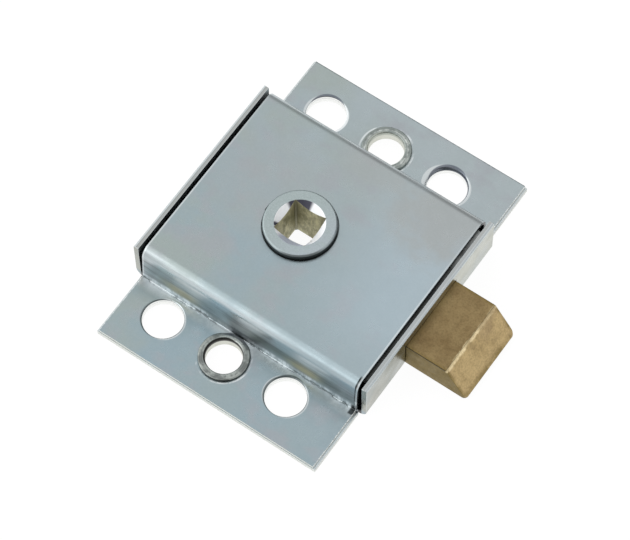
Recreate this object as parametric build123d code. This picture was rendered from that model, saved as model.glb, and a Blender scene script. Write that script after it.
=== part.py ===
from build123d import *
import math
import os

# Slam lock: a sheet steel case on a flanged plate, with a brass bolt that a square key draws in.
# Millimetres. X is the way the bolt throws, Y runs along the plate, Z rises from the back face.
# The origin is the middle of the four fixing holes, on the back face.

# Plate and side walls
plate_sheet = 1.3
flange_inset = 1.75
bend_radius = 2.5
relief_width = 0.4
relief_depth = 1.3

# Cover
cover_sheet = 0.75
cover_top_length = 47.6
cover_gap = 0.9
cover_inset = 0.1
cover_play = 0.3
cover_foot_spread = 0.7
cover_top_radius = 2.5
cover_foot_radius = 0.1

# Holes in both flanges
hole_pitch = 31.75
hole_radius = 4.5
row_room = 0.1
row_edge = 9.9

# Eyelets
eyelet_bore_radius = 4.0
eyelet_wall = 0.55
eyelet_head_radius = 5.65
eyelet_head_height = 0.75
eyelet_rim = 0.4
eyelet_flare = 0.7
eyelet_play = 0.03

# Follower
follower_offset = -1.5
socket_width = 7.94
socket_corner_radius = 0.4
socket_countersink = 1.55
socket_countersink_depth = 1.2
socket_relief_radius = 5.6
socket_relief_depth = 0.7
journal_radius = 6.3
journal_recess = 0.15
key_radius = 7.0
key_flat = 6.3
hub_radius = 7.6
collar_radius = 8.0
collar_stand = 1.6
collar_chamfer = 0.35
collar_play = 0.2
retainer_radius = 9.0
running_play = 0.08
end_play = 0.1

# Cam on the follower
cam_swing = 74.0
cam_thickness = 4.5
cam_boss_radius = 9.0
cam_arm_width = 3.0
cam_nose_radius = 2.4
key_play = 0.03
cam_lift = 0.35

# Bolt
throw = 15.2
bolt_width = 18.6
bolt_height = 7.8
bolt_top_length = 10.05
bolt_tip_radius = 1.0
bolt_tip_land = 0.4
bolt_lift = 0.3
slot_play = 0.25

# Slide that carries the bolt
slide_sheet = 2.0
slide_side_room = 2.8
slide_web = 6.6
slide_bend_radius = 2.4
slide_leg_play = 0.4
slide_tab_gap = 1.3
stop_play = 0.1
draw_play = 0.3
hub_play = 0.2

# Rivets that hold the bolt to the slide
rivet_radius = 1.6
rivet_head_radius = 2.4
rivet_spacing = 11.0
rivet_play = 0.03

# Springs and their guides
spring_wire = 0.6
spring_sides = 5
spring_radius = 2.9
spring_turns = 6
spring_shut_length = 12.6
guide_radius = 1.5
guide_tenon_radius = 1.1
guide_length = 11.0
guide_tip_chamfer = 0.5
guide_play = 0.03
dimple_radius = 1.5
dimple_depth = 0.9

# Heights that follow from the stack of sheets and the bolt
foot_top = plate_sheet + cover_sheet
bolt_bottom = plate_sheet + bolt_lift
bolt_top = bolt_bottom + bolt_height
slide_top = bolt_top + slide_sheet
cover_underside = slide_top + cover_play
case_height = cover_underside + cover_sheet
collar_top = case_height + collar_stand
retainer_top = cover_underside - end_play
retainer_bottom = bolt_top + end_play
cam_bottom = plate_sheet + cam_lift
cam_top = cam_bottom + cam_thickness
spring_z = (plate_sheet + cover_underside) / 2

# Places along the throw, which follow from the cam's arm
cam_lead = math.radians(cam_swing / 2)
cam_radius = throw / (2 * math.sin(cam_lead))
nose_x = follower_offset + cam_radius * math.sin(cam_lead)
nose_y = cam_radius * math.cos(cam_lead)
tab_front = nose_x - cam_nose_radius - draw_play
tab_rear = tab_front - slide_sheet
tail_wall_inside = tab_rear - throw - spring_shut_length
inner_end = nose_x + cam_nose_radius + throw + hub_play
slide_stop = inner_end + slide_web
bolt_wall_inside = slide_stop + stop_play
bolt_wall_face = bolt_wall_inside + plate_sheet
rivet_x = (inner_end + slide_stop) / 2

# Case and plate around them
wall_inner = (bolt_wall_inside - tail_wall_inside) / 2
case_offset = (bolt_wall_inside + tail_wall_inside) / 2
case_width = 2 * (wall_inner + plate_sheet)
flange_width = case_width - 2 * flange_inset
cover_width = 2 * (wall_inner - cover_gap)
row_pitch = cover_top_length + 2 * (cover_foot_spread + eyelet_head_radius + row_room)
plate_length = row_pitch + 2 * row_edge
cover_length = plate_length - 2 * cover_inset
slide_width = cover_top_length - 2 * slide_side_room
leg_inside = retainer_radius + slide_leg_play
leg_middle = (leg_inside + slide_width / 2) / 2

floor = (Align.CENTER, Align.CENTER, Align.MIN)


def disc(radius, bottom, top, x=0.0, y=0.0):
    """Upright cylinder between two heights."""
    return Pos(x, y, bottom) * Cylinder(radius, top - bottom, align=floor)


def block(x_range, y_range, z_range):
    """Box between two corners."""
    sizes = [high - low for low, high in (x_range, y_range, z_range)]
    return Pos(x_range[0], y_range[0], z_range[0]) * Box(*sizes, align=(Align.MIN, Align.MIN, Align.MIN))


def turned(points):
    """Solid of revolution about Z from radius and height pairs."""
    return revolve(make_face(Plane.XZ * Polyline(*points, close=True)), Axis.Z)


def both_ends():
    """Middle of each flange's row of holes."""
    return [(0.0, side * row_pitch / 2) for side in (-1, 1)]


def channel():
    """Plate's middle with its two side walls bent up."""
    outside = Rectangle(case_width, case_height, align=(Align.CENTER, Align.MIN))
    outside = fillet(outside.vertices().group_by(Axis.Y)[0], bend_radius)
    inside = Rectangle(2 * wall_inner, case_height, align=(Align.CENTER, Align.MIN))
    inside = fillet(inside.vertices().group_by(Axis.Y)[0], bend_radius - plate_sheet)
    section = outside - Pos(0, plate_sheet) * inside
    return Pos(case_offset, 0, 0) * extrude(Plane.XZ * section, cover_top_length / 2, both=True)


def flat_plate():
    """Flat sheet with a relief notch at each end of each bend."""
    sheet = Box(flange_width, plate_length, plate_sheet, align=floor)
    waist_length = cover_top_length + 2 * relief_width
    for side in (-1, 1):
        notch = Box(2 * relief_depth, waist_length, plate_sheet, align=floor)
        sheet -= Pos(side * flange_width / 2, 0, 0) * notch
    return Pos(case_offset, 0, 0) * sheet


def fixing_holes(top):
    """Cutters for the four fixing holes."""
    return [disc(hole_radius, 0, top, spot.position.X, spot.position.Y)
            for spot in GridLocations(hole_pitch, row_pitch, 2, 2)]


def eyelet_seat(x, y, top):
    """Cutter for an eyelet's barrel and its flared lower end."""
    radius = eyelet_bore_radius + eyelet_wall + eyelet_play
    flare = turned([(0, 0), (radius + eyelet_flare, 0), (radius, eyelet_flare), (0, eyelet_flare)])
    return disc(radius, 0, top, x, y) + Pos(x, y, 0) * flare


def base_plate():
    plate = channel() + flat_plate()
    for hole in fixing_holes(plate_sheet):
        plate -= hole
    for x, y in both_ends():
        plate -= eyelet_seat(x, y, plate_sheet)
    plate -= disc(journal_radius + running_play, 0, plate_sheet, follower_offset)
    slot_half = bolt_width / 2 + slot_play
    plate -= block((bolt_wall_inside - bend_radius, bolt_wall_face), (-slot_half, slot_half),
                   (plate_sheet, bolt_top + slot_play))
    for side in (-1, 1):
        tenon = Cylinder(guide_tenon_radius + guide_play, 2 * plate_sheet)
        plate -= Pos(tail_wall_inside, side * leg_middle, spring_z) * Rot(0, 90, 0) * tenon
    return plate


def cover_section():
    """Hat section of the cover: its upper skin, thickened inward by the sheet."""
    top_half = cover_top_length / 2
    foot_half = top_half + cover_foot_spread
    skin = [(-cover_length / 2, foot_top), (-foot_half, foot_top), (-top_half, case_height),
            (top_half, case_height), (foot_half, foot_top), (cover_length / 2, foot_top)]
    under = offset_section(skin, cover_sheet)
    outline = make_face(Polyline(*skin, *reversed(under), close=True))
    bends = [(skin[1], cover_foot_radius), (skin[2], cover_top_radius),
             (under[1], cover_foot_radius + cover_sheet), (under[2], cover_top_radius - cover_sheet)]
    for (y, z), radius in bends:
        for side in (-1, 1):
            corner = outline.vertices().sort_by_distance((side * abs(y), z))[0]
            outline = fillet(corner, radius)
    return outline


def offset_section(skin, depth):
    """Points a sheet's thickness below a symmetric hat-shaped line."""
    (foot_y, foot_z), (top_y, top_z) = skin[1], skin[2]
    run = abs(foot_y) - abs(top_y)
    rise = top_z - foot_z
    shift = depth * (math.hypot(run, rise) - run) / rise
    half = [(abs(skin[0][0]), foot_z - depth), (abs(foot_y) - shift, foot_z - depth),
            (abs(top_y) - shift, top_z - depth)]
    return [(-y, z) for y, z in half] + [(y, z) for y, z in reversed(half)]


def cover():
    shell = extrude(Plane.YZ * cover_section(), cover_width / 2, both=True)
    shell = Pos(case_offset, 0, 0) * shell
    for hole in fixing_holes(foot_top):
        shell -= hole
    for x, y in both_ends():
        shell -= eyelet_seat(x, y, foot_top)
    shell -= disc(collar_radius + collar_play, cover_underside, case_height, follower_offset)
    return shell


def eyelet(y):
    """Tubular rivet with a rolled head on the flange and a flush flare in the plate."""
    bore = eyelet_bore_radius
    barrel = bore + eyelet_wall
    head_top = foot_top + eyelet_head_height
    outline = Polyline((bore, 0), (barrel + eyelet_flare, 0), (barrel, eyelet_flare), (barrel, foot_top),
                       (eyelet_head_radius, foot_top), (eyelet_head_radius, head_top),
                       (bore, head_top), close=True)
    face = make_face(outline)
    face = chamfer(face.vertices().group_by(Axis.Y)[-1], eyelet_rim)
    return Pos(0, y, 0) * revolve(Plane.XZ * face, Axis.Z)


def keyed_disc(radius, flat, bottom, top):
    """Cylinder with two flats across X that key the cam to the follower."""
    reach = 2 * radius
    return disc(radius, bottom, top) & block((-flat, flat), (-reach, reach), (bottom, top))


def follower():
    collar = disc(collar_radius, retainer_top, collar_top)
    collar = chamfer(collar.edges().sort_by(Axis.Z)[-1], collar_chamfer)
    body = disc(journal_radius, journal_recess, cam_bottom)
    body += keyed_disc(key_radius, key_flat, cam_bottom, cam_top)
    body += disc(hub_radius, cam_top, retainer_bottom)
    body += disc(retainer_radius, retainer_bottom, retainer_top)
    body += collar
    socket = RectangleRounded(socket_width, socket_width, socket_corner_radius)
    body -= Pos(0, 0, journal_recess) * extrude(socket, collar_top)
    body -= disc(socket_relief_radius, journal_recess, journal_recess + socket_relief_depth)
    mouth = socket_width / 2 + socket_countersink
    countersink_bottom = collar_top - socket_countersink_depth
    body -= turned([(0, collar_top), (mouth, collar_top), (socket_width / 2, countersink_bottom),
                    (0, countersink_bottom)])
    return Pos(follower_offset, 0, 0) * body


def follower_cam():
    """Plate keyed to the follower, whose arm draws the slide by one of its tabs."""
    spot = (cam_radius * math.sin(cam_lead), nose_y)
    neck = Pos(spot[0] / 2, spot[1] / 2) * Rot(0, 0, 90 - cam_swing / 2) * Rectangle(cam_radius, cam_arm_width)
    outline = Circle(cam_boss_radius) + neck + Pos(*spot) * Circle(cam_nose_radius)
    cam = Pos(0, 0, cam_bottom) * extrude(outline, cam_thickness)
    cam -= keyed_disc(key_radius + key_play, key_flat + key_play, cam_bottom, cam_top)
    return Pos(follower_offset, 0, 0) * cam


def rivet_points():
    return [(rivet_x, side * rivet_spacing / 2) for side in (-1, 1)]


def rivet_body(play):
    """Rivet flush at both ends, or with play the cutter for its hole."""
    shank = rivet_radius + play
    head = rivet_head_radius + play
    depth = head - shank
    return turned([(0, bolt_bottom), (head, bolt_bottom), (shank, bolt_bottom + depth),
                   (shank, slide_top - depth), (head, slide_top), (0, slide_top)])


def bolt():
    """Brass bar with a slam bevel on its cover side."""
    tip = bolt_wall_face + throw
    half = bolt_width / 2
    plan = Pos((inner_end + tip) / 2, 0) * Rectangle(tip - inner_end, bolt_width)
    plan = fillet(plan.vertices().group_by(Axis.X)[-1], bolt_tip_radius)
    bar = Pos(0, 0, bolt_bottom) * extrude(plan, bolt_height)
    bevel_start = bolt_wall_face + bolt_top_length
    wedge = make_face(Plane.XZ * Polyline((bevel_start, bolt_top), (tip, bolt_bottom + bolt_tip_land),
                                          (tip + throw, bolt_bottom + bolt_tip_land),
                                          (tip + throw, bolt_top), close=True))
    bar -= extrude(wedge, half + slot_play, both=True)
    for x, y in rivet_points():
        bar -= Pos(x, y, 0) * rivet_body(rivet_play)
    return bar


def slide_leg(side):
    """Leg beside the follower with its end bent down as a tab."""
    section = make_face(Polyline((tab_rear, slide_top), (inner_end, slide_top), (inner_end, bolt_top),
                                 (tab_front, bolt_top), (tab_front, plate_sheet + slide_tab_gap),
                                 (tab_rear, plate_sheet + slide_tab_gap), close=True))
    outer = section.vertices().sort_by_distance((tab_rear, slide_top))[0]
    section = fillet(outer, slide_bend_radius)
    inner = section.vertices().sort_by_distance((tab_front, bolt_top))[0]
    section = fillet(inner, slide_bend_radius - slide_sheet)
    width = slide_width / 2 - leg_inside
    leg = Pos(0, side * leg_middle, 0) * extrude(Plane.XZ * section, width / 2, both=True)
    across = Pos(tab_rear, side * leg_middle, spring_z) * Rot(0, -90, 0)
    leg += across * Cylinder(dimple_radius, dimple_depth, align=floor)
    leg -= Pos(slide_sheet, 0, 0) * across * Cylinder(dimple_radius, dimple_depth, align=floor)
    return leg


def bolt_slide():
    """Pressed fork that carries the bolt and stops on the inside of the bolt's wall."""
    half = slide_width / 2
    fork = block((inner_end, slide_stop), (-half, half), (bolt_top, slide_top))
    for side in (-1, 1):
        fork += slide_leg(side)
    for x, y in rivet_points():
        fork -= Pos(x, y, 0) * rivet_body(rivet_play)
    return fork


def bolt_spring(side):
    """Compression spring between the tail wall and a tab, with ground ends."""
    length = tab_rear - tail_wall_inside
    pitch = length / spring_turns
    path = Helix(pitch, length, spring_radius)
    wire = Plane(origin=path @ 0, z_dir=path % 0) * RegularPolygon(spring_wire / 2, spring_sides)
    coil = sweep(wire, path, is_frenet=True)
    coil &= Cylinder(2 * spring_radius, length, align=floor)
    return Pos(tail_wall_inside, side * leg_middle, spring_z) * Rot(0, 90, 0) * coil


def spring_guide(side):
    """Pin riveted flush through the tail wall, inside the spring."""
    pin = Cylinder(guide_radius, guide_length, align=floor)
    pin = chamfer(pin.edges().sort_by(Axis.Z)[-1], guide_tip_chamfer)
    pin += Pos(0, 0, -plate_sheet) * Cylinder(guide_tenon_radius, plate_sheet, align=floor)
    return Pos(tail_wall_inside, side * leg_middle, spring_z) * Rot(0, 90, 0) * pin


def build():
    nodes = {
        "base_plate": base_plate(),
        "cover": cover(),
        "front_eyelet": eyelet(-row_pitch / 2),
        "rear_eyelet": eyelet(row_pitch / 2),
        "follower": follower(),
        "follower_cam": follower_cam(),
        "bolt": bolt(),
        "bolt_slide": bolt_slide(),
    }
    for name, side in (("front", -1), ("rear", 1)):
        nodes[f"{name}_rivet"] = Pos(rivet_x, side * rivet_spacing / 2, 0) * rivet_body(0)
        nodes[f"{name}_spring"] = bolt_spring(side)
        nodes[f"{name}_spring_guide"] = spring_guide(side)
    return nodes


os.makedirs("parts", exist_ok=True)
for node_name, solid in build().items():
    export_step(solid, f"parts/{node_name}.step")
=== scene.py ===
import math
import bmesh
import bpy
import numpy as np
from mathutils import Matrix, Vector


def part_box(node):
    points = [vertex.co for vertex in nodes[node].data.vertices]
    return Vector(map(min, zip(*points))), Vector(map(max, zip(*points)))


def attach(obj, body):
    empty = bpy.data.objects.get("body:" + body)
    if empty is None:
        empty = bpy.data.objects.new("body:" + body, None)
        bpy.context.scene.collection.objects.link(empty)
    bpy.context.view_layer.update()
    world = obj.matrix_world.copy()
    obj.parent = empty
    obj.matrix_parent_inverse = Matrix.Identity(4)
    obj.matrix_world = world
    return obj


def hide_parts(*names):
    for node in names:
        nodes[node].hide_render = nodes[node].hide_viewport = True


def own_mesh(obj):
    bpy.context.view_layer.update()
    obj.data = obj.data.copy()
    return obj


# Slam lock: zinc plated case, brass bolt, turned follower. Lengths are in metres, or in mm where named so.
mm = 0.001
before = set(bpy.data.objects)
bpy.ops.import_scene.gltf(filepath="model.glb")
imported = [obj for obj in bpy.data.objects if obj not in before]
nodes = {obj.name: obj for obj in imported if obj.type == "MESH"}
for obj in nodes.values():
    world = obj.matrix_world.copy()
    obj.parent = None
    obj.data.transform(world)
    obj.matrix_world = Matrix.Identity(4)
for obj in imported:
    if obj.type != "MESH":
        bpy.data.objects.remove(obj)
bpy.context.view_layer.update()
print("frame loaded:", len(nodes), "nodes")


# camera
cameraView = {"azimuth": 35.881, "elevation": 63.172, "roll": -1.075, "distance": 0.66199,
              "aside": 0.001808, "down": 0.002864, "lens": 176.41, "sensor": 36, "nearest": 0.01}


def addCamera(v):
    # back = (sin a cos e, -cos a cos e, sin e); right and up are square to it, turned by the roll
    a, e, r = (math.radians(v[k]) for k in ("azimuth", "elevation", "roll"))
    back = Vector((math.sin(a) * math.cos(e), -math.cos(a) * math.cos(e), math.sin(e)))
    level = Vector((math.cos(a), math.sin(a), 0))
    upward = back.cross(level)
    right = level * math.cos(r) + upward * math.sin(r)
    up = upward * math.cos(r) - level * math.sin(r)
    data = bpy.data.cameras.new("camera")
    data.lens, data.sensor_width, data.clip_start = v["lens"], v["sensor"], v["nearest"]
    camera = bpy.data.objects.new("camera", data)
    place = back * v["distance"] + right * v["aside"] - up * v["down"]
    camera.matrix_world = Matrix.Translation(place) @ Matrix((right, up, back)).transposed().to_4x4()
    bpy.context.scene.collection.objects.link(camera)
    bpy.context.scene.camera = camera


addCamera(cameraView)


# small helpers for node trees; a mask is a value from 0 (not there) to 1 (fully there)
def setSocket(tree, socket, value):
    # link another node's output to a socket, or set a plain value on it
    if isinstance(value, bpy.types.NodeSocket):
        tree.links.new(value, socket)
    else:
        socket.default_value = value


def addNode(tree, kind, inputs=(), output=0, **settings):
    # new shader node with its settings and inputs; gives back the chosen output
    node = tree.nodes.new("ShaderNode" + kind)
    for key, value in settings.items():
        setattr(node, key, value)
    for key, value in dict(inputs).items():
        setSocket(tree, node.inputs[key], value)
    return node.outputs[output]


def calc(tree, operation, *values):
    # one arithmetic step on one or two values
    return addNode(tree, "Math", {i: v for i, v in enumerate(values)}, operation=operation)


def ease(tree, value, start, end, low=0.0, high=1.0):
    # smoothstep from low at start to high at end
    inputs = {0: value, 1: start, 2: end, 3: low, 4: high}
    return addNode(tree, "MapRange", inputs, interpolation_type="SMOOTHSTEP")


def near(tree, value, middle, width, soft, outside=0.0, inside=1.0):
    # inside's value within width of the middle, easing to outside's over soft
    away = calc(tree, "ABSOLUTE", calc(tree, "SUBTRACT", value, middle))
    return ease(tree, away, width, width + soft, inside, outside)


def both(tree, *masks):
    # product of the masks
    result = masks[0]
    for mask in masks[1:]:
        result = calc(tree, "MULTIPLY", result, mask)
    return result


def blendColour(tree, share, first, second):
    # first * (1 - share) + second * share
    colours = [c if isinstance(c, bpy.types.NodeSocket) else (*c, 1.0) for c in (first, second)]
    return addNode(tree, "Mix", {0: share, 6: colours[0], 7: colours[1]}, 2, data_type="RGBA")


def paint(tree, colour, coat, *masks):
    # the coat laid over a colour, by the product of the masks
    return blendColour(tree, both(tree, *masks), colour, coat)


def noise(tree, vector, scale, detail=3.0, rough=0.5, stretch=None):
    # cloudy noise from 0 to 1, about 0.5 on average; scale is how many clouds go to a metre, and stretch
    # multiplies it for each axis
    if stretch:
        vector = addNode(tree, "Mapping", {"Vector": vector, "Scale": stretch})
    return addNode(tree, "TexNoise", {"Vector": vector, "Scale": scale, "Detail": detail, "Roughness": rough})


def fromAxis(tree, across, along, acrossMiddle, alongMiddle):
    # distance from an upright axis: square root of dx squared plus dy squared
    dx = calc(tree, "SUBTRACT", across, acrossMiddle)
    dy = calc(tree, "SUBTRACT", along, alongMiddle)
    squares = calc(tree, "ADD", calc(tree, "MULTIPLY", dx, dx), calc(tree, "MULTIPLY", dy, dy))
    return calc(tree, "SQRT", squares)


def toward(tree, x, y, degrees):
    # how far a point lies in a direction: x cos d + y sin d
    unitX, unitY = math.cos(math.radians(degrees)), math.sin(math.radians(degrees))
    return calc(tree, "ADD", calc(tree, "MULTIPLY", x, unitX), calc(tree, "MULTIPLY", y, unitY))


def newMaterial(name):
    # metal material; also gives its tree, shader, object coordinates and their three parts
    material = bpy.data.materials.new(name)
    material.use_nodes = True
    tree = material.node_tree
    shader = tree.nodes["Principled BSDF"]
    shader.inputs["Metallic"].default_value = 1.0
    place = addNode(tree, "TexCoord", output=3)
    parts = tree.nodes.new("ShaderNodeSeparateXYZ")
    tree.links.new(place, parts.inputs[0])
    return material, tree, shader, place, list(parts.outputs)


def upright(tree):
    # 1 on faces that stand up, 0 on level ones, from the object's own normals
    parts = tree.nodes.new("ShaderNodeSeparateXYZ")
    tree.links.new(addNode(tree, "TexCoord", output=1), parts.inputs[0])
    return ease(tree, calc(tree, "ABSOLUTE", parts.outputs[2]), 0.6, 0.3)


def addBump(tree, shader, height, depth, strength=1.0):
    # normals tilted by the slope of height times depth
    normal = addNode(tree, "Bump", {"Strength": strength, "Distance": depth, "Height": height})
    setSocket(tree, shader.inputs["Normal"], normal)


# zinc plated sheet
caseLow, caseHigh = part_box("base_plate")
caseMiddle, caseHalf = (caseLow.x + caseHigh.x) / 2, (caseHigh.x - caseLow.x) / 2
caseTop, plateEnd = caseHigh.z, caseHigh.y
zincLook = {"front": (0.318, 0.412, 0.455), "rear": (0.408, 0.466, 0.486), "green": (0.372, 0.425, 0.405),
            "violet": (0.385, 0.405, 0.435), "blush": (0.400, 0.420, 0.415),
            "wornAndSheen": (0.68, 0.74, 0.77), "dullAndShade": (0.12, 0.145, 0.15),
            "teal": (0.13, 0.175, 0.16), "straw": (0.32, 0.325, 0.215), "creamReflection": (0.55, 0.56, 0.49),
            "creamReflectionFront": (0.415, 0.42, 0.37), "oiled": (0.215, 0.22, 0.155),
            "wallTop": (0.46, 0.455, 0.435), "shearedSheen": (0.80, 0.82, 0.77), "sky": (0.47, 0.585, 0.665),
            "bareAndSheen": (0.92, 0.96, 0.97), "silverHighlight": (0.66, 0.70, 0.71), "shade": (0.030, 0.036, 0.038),
            "cut": (0.93, 0.94, 0.92), "duskShade": (0.13, 0.145, 0.18), "cloudsPerMetre": 55,
            "patchesPerMetre": 104.5, "bandsPerMetre": 150, "wanderPerMetre": 150, "creamPatchesPerMetre": 160,
            "unevenPerMetre": 275, "pitsPerMetre": 420, "scuffsPerMetre": 900, "linesPerMetre": 1300,
            "grainPerMetre": 2600, "roughLow": 0.26, "roughHigh": 0.38, "stepRougher": 0.14,
            "bumpDepth": 0.012 * mm, "grainHeight": 0.12, "pitHeight": 0.12, "lineHeight": 1.2}
# where the sheet's features lie; the walls' ends and the step are given by their distance from y = 0
sheetPlaces = {"holeAcross": 15.875 * mm, "holeAlong": 30.25 * mm, "holeRadius": 4.5 * mm,
               "eyeletRadius": 5.65 * mm, "wall": 1.3 * mm, "gap": 0.9 * mm, "footTop": 2.05 * mm,
               "footHalf": 27.6 * mm, "stepTop": 22.2 * mm, "wallEnd": 23.8 * mm, "stepFoot": 24.5 * mm}
footTop, wallInner = sheetPlaces["footTop"], caseHalf - sheetPlaces["wall"]
coverHalf = wallInner - sheetPlaces["gap"]


# warm grey patches on the cover's top are (middle x, middle y, radius, share), in mm
topPatches = [(23.0, 19.0, 12.0, 0.8), (3.0, 22.0, 9.0, 0.5), (-14.0, 5.0, 14.0, 0.35)]


def zincClouds(tree, place, x, y, z, look):
    # tint that brightens from the front flange to the rear one, with green and violet clouds in it, and a
    # painted sky reflection on the top toward the bolt and the rear
    clouds = noise(tree, place, look["cloudsPerMetre"], 4.0, 0.55)
    patches = noise(tree, place, look["patchesPerMetre"], 3.0, 0.6, (1.0, 1.3, 1.0))
    onTop = ease(tree, z, 9.0 * mm, 10.5 * mm)
    slant = calc(tree, "ADD", y, calc(tree, "MULTIPLY", x, 0.5))
    colour = blendColour(tree, ease(tree, slant, -45 * mm, 50 * mm), look["front"], look["rear"])
    tail = ease(tree, x, 18 * mm, -24 * mm, 0.15, 0.85)
    colour = paint(tree, colour, look["green"], tail, ease(tree, clouds, 0.36, 0.62))
    colour = paint(tree, colour, look["violet"], ease(tree, patches, 0.48, 0.66, 0.0, 0.6))
    # painted reflection: the sky colour laid on the top, more toward the bolt's side and the rear
    towardBolt = ease(tree, x, 2 * mm, 26 * mm, 0.0, 0.40)
    towardRear = ease(tree, y, -23 * mm, -6 * mm, 0.25, 1.0)
    colour = paint(tree, colour, look["sky"], towardBolt, towardRear, onTop)
    for middleX, middleY, radius, share in topPatches:
        ragged = ease(tree, patches, 0.3, 0.7, -0.25 * radius * mm, 0.25 * radius * mm)
        away = calc(tree, "ADD", fromAxis(tree, x, y, middleX * mm, middleY * mm), ragged)
        patch = ease(tree, away, 1.2 * radius * mm, 0.4 * radius * mm, 0.0, share)
        colour = paint(tree, colour, look["blush"], patch, onTop)
    return colour


# each stain on the step is (middle x, half length, middle z, half height, colour, share), in mm; the dusk
# one, low beside the front eyelet, is painted shade
stepStains = [(-14.0, 9.0, 6.9, 0.9, "teal", 0.35), (-9.0, 9.0, 3.9, 0.6, "teal", 0.55),
              (5.5, 2.0, 4.0, 1.2, "dullAndShade", 0.5), (-4.0, 4.5, 2.9, 0.9, "dullAndShade", 0.6),
              (-0.5, 2.6, 3.2, 1.0, "duskShade", 0.5), (13.0, 13.0, 6.2, 1.3, "teal", 0.85),
              (-15.5, 4.2, 5.2, 1.2, "straw", 0.85), (16.5, 4.0, 5.4, 1.3, "straw", 0.85)]


def zincStep(tree, colour, place, x, y, z, look):
    # bent step of the cover: bend rubbed bright and partly a painted highlight, a darker band low on the
    # face, stains and painted shade beside the eyelet, all drawn out along the bend
    across = calc(tree, "ABSOLUTE", calc(tree, "SUBTRACT", x, caseMiddle))
    away = calc(tree, "ABSOLUTE", y)
    outer = both(tree, ease(tree, across, coverHalf + 0.45 * mm, coverHalf + 0.27 * mm),
                 ease(tree, away, sheetPlaces["stepTop"], sheetPlaces["stepTop"] + 1 * mm))
    bend = both(tree, outer, ease(tree, z, 8.6 * mm, 10.4 * mm), ease(tree, away, 24.6 * mm, 24.3 * mm))
    face = both(tree, outer, ease(tree, z, 10.2 * mm, 8.4 * mm), ease(tree, z, 2.2 * mm, 2.5 * mm))
    lines = noise(tree, place, look["linesPerMetre"], 3.0, 0.6, (0.07, 1.0, 1.0))
    bands = noise(tree, place, look["bandsPerMetre"], 3.0, 0.6, (0.22, 1.0, 1.6))
    scuffs = noise(tree, place, look["scuffsPerMetre"], 3.0, 0.65, (1.0, 0.25, 0.25))
    # the bend painted bright along the drawn lines, less toward the bolt: wear and a painted highlight
    # together
    rubbedAndSheen = both(tree, ease(tree, lines, 0.3, 0.7, 0.15, 0.6), ease(tree, x, 2 * mm, 20 * mm, 1.0, 0.1))
    colour = paint(tree, colour, look["wornAndSheen"], bend, rubbedAndSheen)
    low = ease(tree, z, 7.2 * mm, 4.8 * mm)
    colour = paint(tree, colour, look["dullAndShade"], face, low, ease(tree, bands, 0.40, 0.60, 0.05, 0.42))
    wavy = calc(tree, "ADD", z, calc(tree, "MULTIPLY", bands, 1.2 * mm))
    for middle, halfLength, height, halfHeight, key, share in stepStains:
        along = near(tree, x, middle * mm, 0.3 * halfLength * mm, 1.3 * halfLength * mm)
        up = near(tree, wavy, (height + 0.6) * mm, 0.1 * halfHeight * mm, 1.8 * halfHeight * mm)
        colour = paint(tree, colour, look[key], face, along, up, share)
    colour = paint(tree, colour, look["dullAndShade"], face, ease(tree, lines, 0.46, 0.70, 0.0, 0.6))
    foot = both(tree, ease(tree, z, 4.2 * mm, 3.2 * mm), near(tree, x, -3.5 * mm, 3 * mm, 3 * mm, 1.0, 0.25))
    colour = paint(tree, colour, look["wornAndSheen"], face, foot, ease(tree, scuffs, 0.40, 0.60, 0.3, 0.85))
    colour = zincCorner(tree, colour, scuffs, x, y, z, look)
    return colour, lines, face, calc(tree, "MAXIMUM", face, calc(tree, "MULTIPLY", bend, 0.5))


def zincCorner(tree, colour, scuffs, x, y, z, look):
    # end of the front step beside the bolt's wall: painted shade in a nick along the edge, wider on top, and
    # a bright burr
    fromEdge = calc(tree, "SUBTRACT", caseMiddle + coverHalf, x)
    front = ease(tree, y, -21 * mm, -22 * mm)
    nickHalf = ease(tree, z, 10.6 * mm, 11.4 * mm, 0.10 * mm, 0.24 * mm)
    fromNick = calc(tree, "ABSOLUTE", calc(tree, "SUBTRACT", fromEdge, 0.52 * mm))
    nick = ease(tree, calc(tree, "SUBTRACT", fromNick, nickHalf), 0.14 * mm, 0.0)
    above = ease(tree, z, 4.8 * mm, 5.8 * mm)
    colour = paint(tree, colour, look["shade"], front, nick, above, ease(tree, scuffs, 0.35, 0.5, 0.6, 1.0))
    burr = both(tree, ease(tree, fromEdge, 0.4 * mm, 0.25 * mm), near(tree, z, 4.9 * mm, 0.5 * mm, 0.4 * mm))
    return paint(tree, colour, look["bareAndSheen"], front, burr)


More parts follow.
